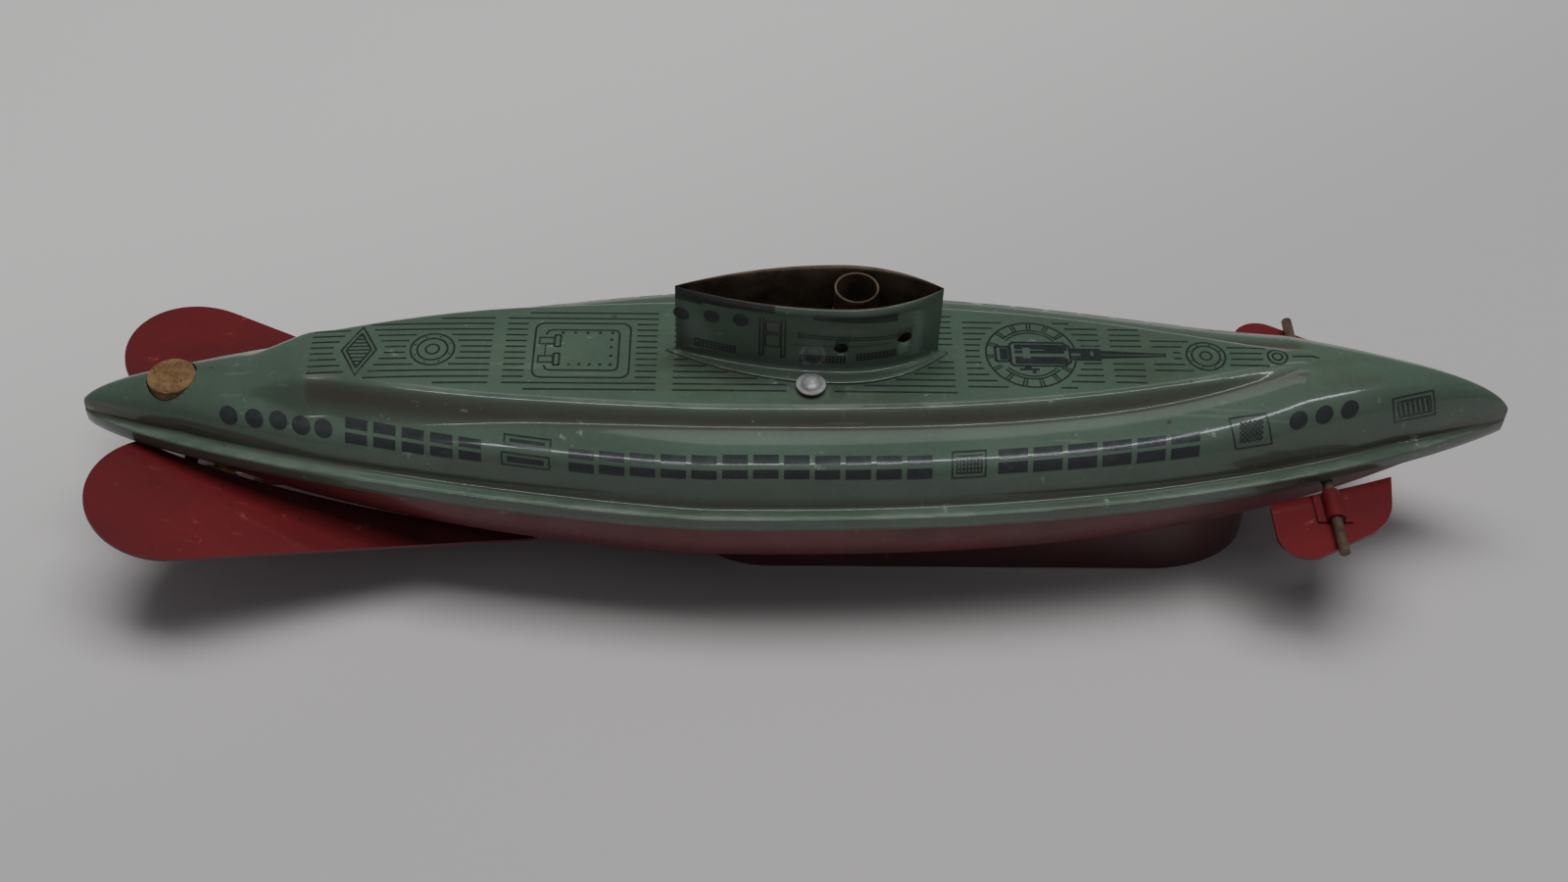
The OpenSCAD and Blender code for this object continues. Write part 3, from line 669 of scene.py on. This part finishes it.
def side_arc(x):
    """The hull's side at x as arrays of distance s, w and rise, from the flange up."""
    key = round(x, 2)
    if key not in _arcs:
        n = boxiness(x)
        turn = np.linspace(0, math.pi / 2, 160)
        w = flange_at(x) * np.maximum(np.cos(turn), 0) ** (2 / n)
        rise = FLANGE_RISE + (crown_rise(x) - FLANGE_RISE) * np.sin(turn) ** (2 / n)
        steps = np.hypot(np.diff(w), np.diff(rise))
        _arcs[key] = (np.concatenate([[0], np.cumsum(steps)]), w, rise)
    return _arcs[key]


def side_point(side):
    def place(x, s):
        dist, w, rise = side_arc(x)
        at_w = float(np.interp(s, dist, w))
        at_z = float(np.interp(s, dist, rise))
        dw = float(np.interp(s + 0.2, dist, w)) - at_w
        dz = float(np.interp(s + 0.2, dist, rise)) - at_z
        span = math.hypot(dw, dz) or 1
        at_w += dz / span * PRINT_LIFT
        at_z = max(at_z - dw / span * PRINT_LIFT, rise_at(x, at_w) + PRINT_LIFT * 0.5)
        return (x, side * at_w, RIM_Z + at_z)
    return place


class Print:
    """Ink on one surface: shapes are drawn flat in (u, v) millimetres and laid on it by place."""

    def __init__(self, place, mirror=False):
        self.place = place
        self.mirror = mirror
        self.verts = []
        self.faces = []

    def quad_grid(self, point, nu, nv):
        base = len(self.verts)
        for i in range(nu + 1):
            for j in range(nv + 1):
                self.verts.append(self.place(*point(i / nu, j / nv)))
        for i in range(nu):
            for j in range(nv):
                a = base + i * (nv + 1) + j
                self.faces.append((a, a + nv + 1, a + nv + 2, a + 1))

    def rect(self, u0, v0, u1, v1, step=0.8, lean=0.0):
        nu = max(1, math.ceil(abs(u1 - u0) / step))
        nv = max(1, math.ceil(abs(v1 - v0) / step))
        self.quad_grid(lambda a, b: (u0 + (u1 - u0) * a + lean * b, v0 + (v1 - v0) * b), nu, nv)

    def ring(self, u, v, outer, inner=0.0, start=0.0, turn=360.0, count=48):
        def point(a, b):
            angle = math.radians(start + turn * a)
            r = inner + (outer - inner) * b
            return u + r * math.cos(angle), v + r * math.sin(angle)
        self.quad_grid(point, max(6, round(count * abs(turn) / 360)), 1 if outer - inner < 0.5 else 3)

    def stroke(self, points, width, closed=False):
        """A line of that width through flat points, in steps that follow the surface."""
        if closed:
            points = points + [points[0]]
        for (ua, va), (ub, vb) in zip(points, points[1:]):
            span = math.hypot(ub - ua, vb - va)
            if span < 1e-6:
                continue
            du, dv = (ub - ua) / span, (vb - va) / span
            grow = width / 2
            self.quad_grid(lambda a, b: (
                ua - du * grow * 0.6 + (ub - ua + du * grow * 1.2) * a - dv * width * (b - 0.5),
                va - dv * grow * 0.6 + (vb - va + dv * grow * 1.2) * a + du * width * (b - 0.5)),
                max(1, math.ceil(span / 1.2)), 1)

    def frame(self, u0, v0, u1, v1, width, corner=0.0):
        """The outline of a rectangle with rounded corners."""
        points = []
        for cu, cv, start in ((u1 - corner, v1 - corner, 0), (u0 + corner, v1 - corner, 90),
                              (u0 + corner, v0 + corner, 180), (u1 - corner, v0 + corner, 270)):
            steps = 5 if corner else 1
            for k in range(steps):
                angle = math.radians(start + (90 * k / (steps - 1) if steps > 1 else 0))
                points.append((cu + corner * math.cos(angle), cv + corner * math.sin(angle)))
        self.stroke(points, width, closed=True)

    def make(self, name, material, body="hull"):
        piece = new_piece(name, self.verts, self.faces, material)
        if self.mirror:
            piece.data.flip_normals()
        return finish_piece(piece, body)


LINE = 0.46                                  # width of the thin printed lines
LINE_PITCH = 1.864
# Where each deck line starts and stops, counted outward from the middle
LINE_ENDS = ((-110.7, 104.4), (-110.7, 105.5), (-110.7, 98.3), (-110.7, 91.3), (-98.7, 77.5),
             (-82.2, 61.1), (-62.0, 46.5))
GAPS = ((-70.1, -67.1), (-32.9, -29.0), (34.0, 36.7), (67.4, 70.0), (76.9, 79.2))
RINGS = ((-83.3, 5.0, (4.9, 3.4, 1.5)), (91.3, 4.6, (4.4, 3.2, 1.3)), (107.6, 2.4, (2.2, 1.1)))
GUN_X = 51.6
GUN_R = 10.2
DIAMOND_X = -99.8
HATCH = (-60.5, -8.6, -39.0, 8.6)            # aft, far, fore and near edge
HATCH_CLEARING = (-62.35, -37.6, 9.8)        # aft end, fore end and half width kept free of lines
TOWER_FULL_X = 8.5                           # where the tower is widest
TOWER_CLEARING = (10.4, -31.2, 33.2)         # half width and tips of what its flange keeps free


def tower_half_at(x, half_w, aft, fore):
    """Half width of the tower's lens outline at x, or 0 past its tips."""
    reach = TOWER_FULL_X - aft if x < TOWER_FULL_X else fore - TOWER_FULL_X
    radius = (reach * reach + half_w * half_w) / (2 * half_w)
    under = radius * radius - (x - TOWER_FULL_X) ** 2
    return max(0.0, half_w - radius + math.sqrt(max(0.0, under)))


def deck_is_free(x, w):
    """True where a deck line may be printed: clear of the gaps and of every other print."""
    if any(a < x < b for a, b in GAPS):
        return False
    if abs(x - DIAMOND_X) / 4.6 + abs(w) / 8.6 < 1.35:
        return False
    if any(math.hypot(x - cx, w) < r + 1.2 for cx, r, _ in RINGS):
        return False
    aft, fore, half = HATCH_CLEARING
    if aft < x < fore and abs(w) < half:
        return False
    if math.hypot(x - GUN_X, w) < GUN_R + 1.6 or (GUN_X < x < 84 and abs(w) < 2.6):
        return False
    if abs(w) < tower_half_at(x, *TOWER_CLEARING) + 0.2 and -32 < x < 34:
        return False
    return not (abs(x - 1.6) < 5.4 and 7 < abs(w) < 15.5)


def print_deck_lines(sheet):
    step = 0.25
    for number, (aft, fore) in enumerate(LINE_ENDS):
        for side in (-1, 1):
            w = side * (number + 0.5) * LINE_PITCH
            start = None
            x = aft
            while x < fore + step:
                free = x <= fore and deck_is_free(x, w)
                if free and start is None:
                    start = x
                if not free and start is not None:
                    if x - start > 1.6:
                        sheet.stroke([(start, w), (x - step, w)], LINE)
                    start = None
                x += step
    sheet.stroke([(111.2, 0.0), (117.6, -0.2)], LINE)


def print_ring_hatches(sheet):
    for x, _, radii in RINGS:
        for r in radii:
            sheet.ring(x, 0, r + LINE / 2, r - LINE / 2)
        if len(radii) > 2:
            for k in range(8):
                angle = math.radians(45 * k + 20)
                middle = (radii[0] + radii[1]) / 2
                sheet.ring(x + middle * math.cos(angle), middle * math.sin(angle), 0.24, count=10)


def print_diamond(sheet):
    """A plain badge: two nested diamonds with bars across the inner one."""
    for size in (1.0, 0.72):
        sheet.stroke([(DIAMOND_X - 3.9 * size, 0), (DIAMOND_X, -7.6 * size),
                      (DIAMOND_X + 3.9 * size, 0), (DIAMOND_X, 7.6 * size)], LINE, closed=True)
    for k in range(-4, 5):
        w = k * 1.15
        reach = 2.3 * (1 - abs(w) / 5.5)
        sheet.stroke([(DIAMOND_X - reach, w), (DIAMOND_X + reach, w)], 0.42)


def print_square_hatch(sheet):
    sheet.frame(*HATCH, LINE, 2.0)
    sheet.stroke([(-58.0, -5.0), (-57.6, -6.0), (-56.7, -6.4), (-42.7, -6.4), (-41.9, -6.1), (-41.5, -5.2),
                  (-41.5, 5.2), (-41.9, 6.1), (-42.7, 6.4), (-56.7, 6.4), (-57.6, 6.0), (-58.0, 5.0)], LINE)
    sheet.stroke([(-58.0, -1.7), (-58.0, 1.9)], 0.3)
    for v in (-2.85, 3.0):
        sheet.frame(-59.4, v - 1.0, -56.1, v + 1.0, LINE)
        sheet.frame(-56.0, v - 1.85, -54.7, v + 1.85, LINE, 0.3)
    dots = [(-54.3 + 2.8 * k, -5.5) for k in range(5)]
    dots += [(-54.8 + 2.32 * k, 4.6) for k in range(6)]
    dots += [(-43.2, v) for v in (-3.3, -0.9, 1.8)]
    for u, v in dots:
        sheet.ring(u, v, 0.4, count=12)


# Black blocks of the gun, as (aft, far, fore, near); the gaps between them read as bright metal
GUN_BLOCKS = (
    (47.9, -3.1, 59.9, -2.05), (47.9, -2.05, 49.7, -1.55), (51.4, -2.05, 59.9, -1.55),
    (54.6, -1.55, 59.9, -1.15), (47.9, -1.15, 49.7, -0.25), (51.4, -1.15, 59.2, -0.25),
    (47.9, 0.8, 49.7, 1.35), (51.4, 0.8, 59.2, 1.35), (47.9, 1.35, 59.9, 3.1),
    (44.5, -1.75, 46.3, 1.75), (60.6, -1.95, 67.4, -1.1), (60.6, -1.1, 65.1, -0.35),
    (65.7, -1.1, 67.4, -0.35), (62.8, -0.35, 65.1, 0.45), (65.7, -0.35, 67.4, 0.45),
    (60.6, 0.45, 67.4, 1.95))
BARREL_AFT = 67.4
BARREL_FORE = 82.0


def print_barrel(solid):
    """Two dark strips that taper forward on either side of a bright core."""
    length = BARREL_FORE - BARREL_AFT
    for aft, fore in (((-1.3, -0.14), (-0.5, -0.14)), ((0.14, 1.3), (0.14, 0.5))):
        solid.quad_grid(lambda a, b: (BARREL_AFT + length * a,
                                      (aft[0] + (aft[1] - aft[0]) * b) * (1 - a)
                                      + (fore[0] + (fore[1] - fore[0]) * b) * a), 12, 1)
    solid.stroke([(BARREL_FORE, -0.5), (BARREL_FORE, 0.5)], 0.4)


def print_handwheel(solid):
    solid.rect(48.7, 4.5, 53.1, 5.1)
    solid.rect(49.8, 3.6, 51.4, 4.5)
    solid.ring(51.9, 5.6, 0.5, count=14)


def print_gun(sheet, solid):
    sheet.ring(GUN_X, 0, GUN_R + LINE / 2, GUN_R - LINE / 2, 12, 336, 96)
    for radius in (7.7, 6.9):
        for start in (38, 218):
            sheet.ring(GUN_X, 0, radius + 0.2, radius - 0.2, start, 104, 96)
    for k in range(1, 14):
        for offset in (-2.2, 2.2):
            angle = math.radians(24 * k + 7 + offset)
            sheet.stroke([(GUN_X + r * math.cos(angle), r * math.sin(angle)) for r in (7.8, 10.1)], 0.36)
    for block in GUN_BLOCKS:
        solid.rect(*block)
    solid.stroke([(46.9, -3.1), (47.6, -3.7), (59.0, -3.7), (60.4, -2.4), (60.4, 2.4), (59.0, 3.7),
                  (47.6, 3.7), (46.9, 3.1)], 0.55, closed=True)
    solid.frame(43.5, -2.3, 46.7, 2.3, 0.6, 0.5)
    print_barrel(solid)
    print_handwheel(solid)


PORTHOLE_R = 2.15
PORTHOLES = ((-129.2, 7.5), (-123.2, 8.0), (-117.6, 8.6), (-112.3, 8.4), (-107.2, 8.6),
             (111.4, 12.7), (117.5, 12.9), (123.6, 12.9))
# Rows of windows: first x, pitch, width, count, then each row's lower and upper edge at its
# aft end, middle and fore end, as distance up the side
WINDOWS = (
    (-102.2, 6.48, 5.1, 5, (((6.3, 6.6, 7.0), (8.7, 8.9, 9.1)), ((9.6, 9.7, 9.9), (11.9, 12.0, 12.1)))),
    (-51.7, 6.77, 5.6, 12, (((7.5, 9.0, 8.1), (9.7, 11.0, 10.6)), ((10.6, 12.3, 11.6), (12.7, 14.4, 13.5)))),
    (43.0, 7.82, 6.6, 6, (((8.4, 8.0, 7.7), (11.0, 10.7, 10.3)), ((11.5, 11.4, 11.2), (13.9, 13.7, 13.4)))),
)


def window_block(sheet, start, pitch, width, count, rows):
    for k in range(count):
        u = start + pitch * k
        along = k / (count - 1)
        for low, high in rows:
            edges = [float(np.interp(along, (0, 0.5, 1), edge)) for edge in (low, high)]
            sheet.rect(u, edges[0], u + width, edges[1], 0.9)


def louvre(sheet, lines, u0, v0, u1, v1):
    """A framed slot with a dark bar in it."""
    lines.frame(u0, v0, u1, v1, LINE)
    sheet.rect(u0 + 1.2, v0 + 0.75, u1 - 1.2, v1 - 0.75)


def slanted_frame(lines, low_u, high_u, width, v0, v1):
    """A frame whose aft edge runs from low_u at its foot to high_u at its top."""
    lines.stroke([(low_u, v0), (low_u + width, v0), (high_u + width, v1), (high_u, v1)], LINE, closed=True)


def print_side(sheet, lines):
    for u, v in PORTHOLES:
        sheet.ring(u, v, PORTHOLE_R, count=36)
    for block in WINDOWS:
        window_block(sheet, *block)
    louvre(sheet, lines, -66.6, 7.3, -56.0, 10.1)
    louvre(sheet, lines, -66.0, 11.8, -55.7, 14.1)
    lines.frame(32.8, 8.0, 40.2, 13.9, LINE)
    for k in range(8):
        u = 33.8 + 0.78 * k
        lines.stroke([(u, 9.0), (u, 12.9)], 0.42)
    for k in range(5):
        v = 9.1 + 0.95 * k
        lines.stroke([(33.7, v), (39.4, v)], 0.36)
    slanted_frame(lines, 97.2, 95.4, 8.45, 8.1, 15.35)
    for k in range(-5, 8):
        for turn in (1, -1):
            points = clipped_diagonal(98.0, 9.5, 103.2, 14.0, 1.15 * k, turn)
            if points:
                lines.stroke(points, 0.5)
    slanted_frame(lines, 135.4, 134.0, 10.0, 6.8, 13.0)
    slanted_frame(lines, 136.5, 135.4, 7.8, 7.9, 11.9)
    for k in range(6):
        u = 137.5 + 1.2 * k
        lines.stroke([(u, 8.4), (u - 0.9, 11.4)], 0.62)


def clipped_diagonal(u0, v0, u1, v1, offset, turn):
    """The part of a 45 degree line inside a box, or None."""
    height = v1 - v0
    ua, va = u0 + offset, (v0 if turn > 0 else v1)
    ub, vb = ua + height, (v1 if turn > 0 else v0)
    if ub <= u0 + 0.2 or ua >= u1 - 0.2:
        return None
    low = max(0.0, (u0 - ua) / height)
    high = min(1.0, (u1 - ua) / height)
    return [(ua + (ub - ua) * t, va + (vb - va) * t) for t in (low, high)]


def make_prints():
    deck_lines = Print(deck_point, True)
    deck_solid = Print(deck_point, True)
    print_deck_lines(deck_lines)
    print_ring_hatches(deck_lines)
    print_diamond(deck_lines)
    print_square_hatch(deck_lines)
    print_gun(deck_lines, deck_solid)
    deck_lines.make("deck_line_print", LINE_INK)
    deck_solid.make("deck_gun_print", INK)
    for side, name in ((-1, "starboard"), (1, "port")):
        sheet = Print(side_point(side), side > 0)
        lines = Print(side_point(side), side > 0)
        print_side(sheet, lines)
        sheet.make(f"{name}_window_print", INK)
        lines.make(f"{name}_line_print", LINE_INK)


# ---------- Conning tower ----------
TOWER_AFT = -28.5
TOWER_FORE = 30.3
TOWER_HALF = 6.6
WALL = 0.45
# Profile of the pressed wall: (out from the wall's face, past the tips, height above the deck)
TOWER_PROFILE = (
    (3.4, 2.4, 0.06), (3.35, 2.35, 0.36), (2.2, 1.5, 0.46), (0.9, 0.6, 0.62), (0.35, 0.25, 1.0),
    (0.08, 0.05, 1.8), (0.0, 0.0, 3.0), (0.0, 0.0, 8.0), (0.0, 0.0, 12.5), (0.0, 0.0, 16.2),
    (0.1, 0.0, 16.9), (0.45, 0.0, 17.4), (0.85, 0.0, 17.9), (1.0, 0.0, 18.6), (1.0, 0.0, 19.3),
    (0.9, 0.0, 19.75), (0.62, 0.0, 20.0), (0.3, 0.0, 19.95), (0.05, 0.0, 19.7), (-0.1, 0.0, 19.2),
    (-0.2, 0.0, 18.2), (-WALL, -0.4, 17.0), (-WALL, -0.6, 12.0), (-WALL, -0.6, 6.0),
    (-WALL, -0.6, 0.5), (-WALL, -0.6, 0.06))
TOWER_STEPS = 120
# Flood holes and printed portholes, as (x, height above the deck)
FLOOD_HOLES = ((8.1, 7.6), (22.2, 8.7))
FLOOD_HOLE_R = 1.6
TOWER_PORTHOLES = ((-27.2, 12.1), (-20.5, 13.3), (-14.1, 13.8))
TOWER_PORTHOLE_R = 1.8
# Printed vents, as (x and height of the middle, length, width)
TOWER_VENTS = ((-19.8, 4.5, 8.8, 1.9), (4.1, 4.3, 9.8, 1.8), (16.0, 5.0, 8.4, 1.8))
BLACK_BAND_FORE = -6.8


def tower_x(k, aft, fore):
    return (aft + fore) / 2 - (fore - aft) / 2 * math.cos(math.pi * k / TOWER_STEPS)


def make_tower_half(side, name, node):
    verts = []
    for out, tip, height in TOWER_PROFILE:
        aft, fore = TOWER_AFT - tip, TOWER_FORE + tip
        for k in range(TOWER_STEPS + 1):
            x = tower_x(k, aft, fore)
            y = tower_half_at(x, TOWER_HALF + out, aft, fore)
            verts.append((x, side * max(y, 0.05), RIM_Z + DECK + height))
    faces = grid_faces(len(TOWER_PROFILE), TOWER_STEPS + 1, close_rows=True, flip=side > 0)
    cols = TOWER_STEPS + 1
    rows = len(TOWER_PROFILE)
    faces.append(tuple(i * cols for i in range(rows)))
    faces.append(tuple(i * cols + cols - 1 for i in reversed(range(rows))))
    piece = new_piece(name, verts, faces, mats["green_tin"])
    deck = RIM_Z + DECK
    outward(piece, (0, side * 40, deck + 10))
    holes = [((x, side * 6, deck + z), (0, 1, 0), FLOOD_HOLE_R, 12) for x, z in FLOOD_HOLES]
    cut(piece, holes)
    paint_tower(piece, side)
    finish_piece(piece, "hull", [node])
    return piece


def paint_tower(piece, side):
    """Green outside, aged bare tin inside, and a black band along the aft part of the coaming."""
    for material in (mats["bare_tin"], BLACK_TIN):
        piece.data.materials.append(material)
    for face in piece.data.polygons:
        x, y, z = face.center / MM
        height = z - RIM_Z - DECK
        if side * face.normal.y < -0.3 or height > 19.97:
            face.material_index = 1
        elif x < BLACK_BAND_FORE and height > 16.0 + 2.0 * (x - TOWER_AFT) / 21.7:
            face.material_index = 2


def wall_point(side):
    def place(x, height):
        y = tower_half_at(x, TOWER_HALF, TOWER_AFT, TOWER_FORE)
        bulge = 0.0
        profile = [(h, out) for out, tip, h in TOWER_PROFILE[6:15]]
        for (h0, b0), (h1, b1) in zip(profile, profile[1:]):
            if h0 <= height <= h1:
                bulge = b0 + (b1 - b0) * (height - h0) / (h1 - h0)
        return (x, side * (y + bulge + PRINT_LIFT), RIM_Z + DECK + height)
    return place


def print_tower(sheet, lines):
    for u, v in TOWER_PORTHOLES:
        sheet.ring(u, v, TOWER_PORTHOLE_R, count=30)
    for u in (-9.9, -5.1):
        lines.stroke([(u, 4.0), (u, 15.5)], LINE)
        lines.stroke([(u + 0.8, 4.4), (u + 0.8, 15.5)], LINE)
        lines.stroke([(u - 0.1, 4.0), (u + 0.9, 4.4)], LINE)
    for foot, head in ((7.1, 10.8), (11.4, 14.7)):
        lines.frame(-8.6, foot, -5.4, head, LINE, 0.5)
    for drop in (0.0, 0.75):
        lines.stroke([(-1.3, 11.6 - drop), (20.8, 10.4 - drop)], LINE * 0.7)
    for u, v in ((-1.3, 11.3), (9.8, 10.7), (20.8, 10.1)):
        lines.stroke([(u, v - 0.9), (u, v + 0.9)], LINE)
    lines.stroke([(-3.0, 8.3), (19.6, 8.3)], 0.16)
    for u, v, length, width in TOWER_VENTS:
        bars = round(length / 0.85)
        for k in range(bars + 1):
            place = u - length / 2 + length * k / bars
            sheet.stroke([(place, v - width / 2), (place, v + width / 2)], 0.5)
        for edge in (-1, 0, 1):
            line_v = v + edge * width / 2
            sheet.stroke([(u - length / 2, line_v), (u + length / 2, line_v)], 0.4)
    sheet.quad_grid(lambda a, b: (1.7 + 18.6 * a, 16.1 - 1.4 * a + 2.4 * b), 24, 2)


def make_tower():
    for side, name, node in ((1, "tower_port_half", "tower_port"),
                             (-1, "tower_starboard_half", "tower_starboard")):
        make_tower_half(side, name, node)
        sheet = Print(wall_point(side), side > 0)
        lines = Print(wall_point(side), side > 0)
        print_tower(sheet, lines)
        sheet.make(f"{name}_print", INK)
        lines.make(f"{name}_line_print", LINE_INK)


# ---------- Cork ----------
def make_cork():
    """A cork with a soft rim, slightly tapered and pitted."""
    work = bmesh.new()
    bmesh.ops.create_icosphere(work, subdivisions=6, radius=1.0)
    height = cork_high.z - cork_low.z
    for v in work.verts:
        flat = math.hypot(v.co.x, v.co.y)
        scale = 1 / max(flat, abs(v.co.z), 1e-6)
        rim = (flat ** CORK_CORNER + abs(v.co.z) ** CORK_CORNER) ** (-1 / CORK_CORNER)
        v.co = v.co * (rim * 0.7 + scale * 0.3)
        taper = 1 - CORK_TAPER * max(0.0, -v.co.z)
        place = Vector((v.co.x * CORK_R * CORK_FIT * taper, v.co.y * CORK_R * CORK_FIT * taper,
                        v.co.z * height / 2))
        pits = noise.fractal(place * 1.1, 0.8, 2.2, 4)
        place *= 1 - 0.016 * max(0.0, pits)
        v.co = (place + Vector((CORK_X, 0, (cork_low.z + cork_high.z) / 2))) * MM
    mesh = bpy.data.meshes.new("cork_stopper")
    work.to_mesh(mesh)
    work.free()
    mesh.shade_smooth()
    mesh.materials.append(mats["cork"])
    piece = bpy.data.objects.new("cork_stopper", mesh)
    scene.collection.objects.link(piece)
    finish_piece(piece, "cork", ["cork_plug"])


# ---------- Carried-over CAD nodes ----------
def dress_nodes():
    """Every CAD node that stays takes the material of its slot."""
    slots = {part["node"]: part["material_slot"] for part in frame["record"]["subparts"]}
    for name, piece in nodes.items():
        piece.data.materials.clear()
        piece.data.materials.append(mats[slots[name]])


dress_nodes()
make_camera()
make_stage()
make_hull()
make_prints()
make_tower()
make_cork()
